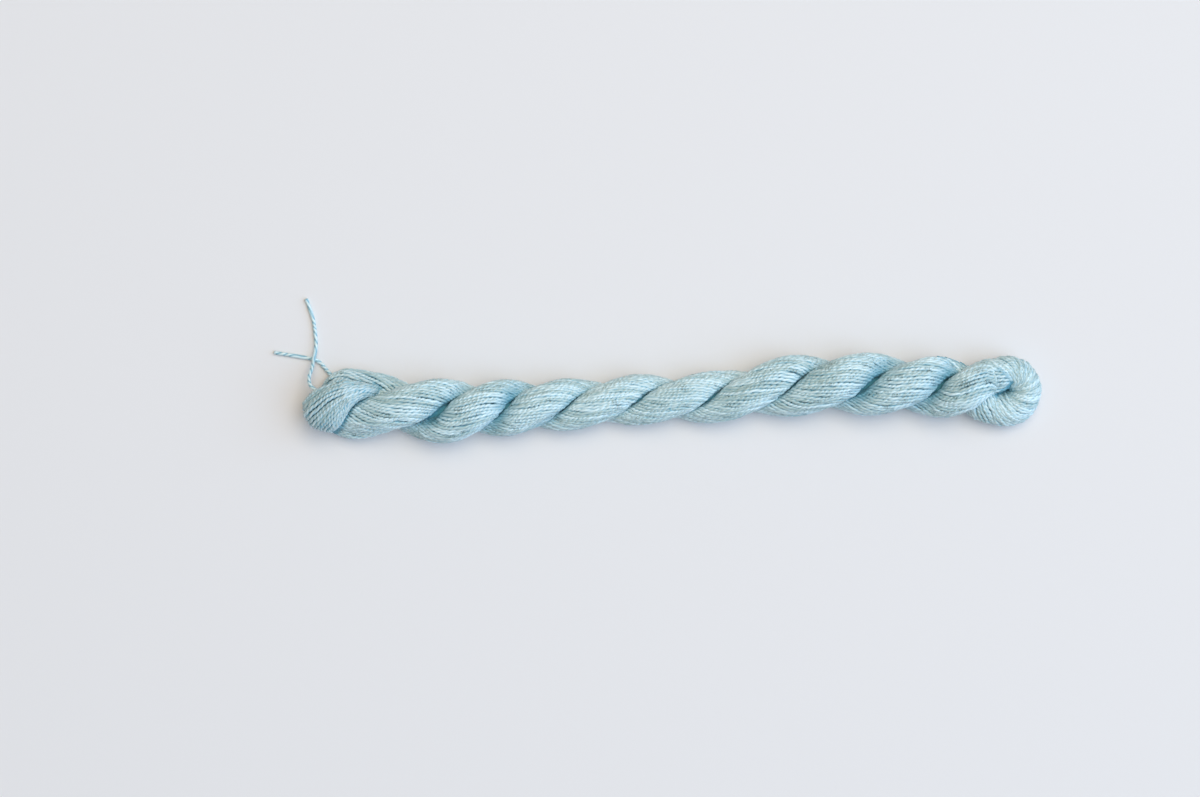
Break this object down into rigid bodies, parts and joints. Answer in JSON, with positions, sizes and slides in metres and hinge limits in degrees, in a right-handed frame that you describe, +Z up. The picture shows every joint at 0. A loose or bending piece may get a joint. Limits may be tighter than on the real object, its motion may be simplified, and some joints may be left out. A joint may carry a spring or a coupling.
{
  "type": "skein of embroidery floss",
  "caption": "Skein of silk embroidery floss, wound, doubled and twisted into a short rope so that it stays neat in a drawer, with a thread tied round its looped end.",
  "frame": {"origin": "middle of the skein's footprint on the surface it lies on, the tie thread left out", "axes": "+X along the skein from its tied, looped end to its U-turn end; +Y across it, towards the tie's upper free end; +Z up"},
  "size_m": [0.2168, 0.041, 0.0153],
  "materials": {
    "floss": "two-ply silk thread, pale grey-blue, soft sheen",
    "tie_thread": "two-ply silk thread, pale grey-blue, soft sheen"
  },
  "bodies": {
    "root": {"skein": "floss", "tie": "tie_thread"}
  },
  "joints": []
}
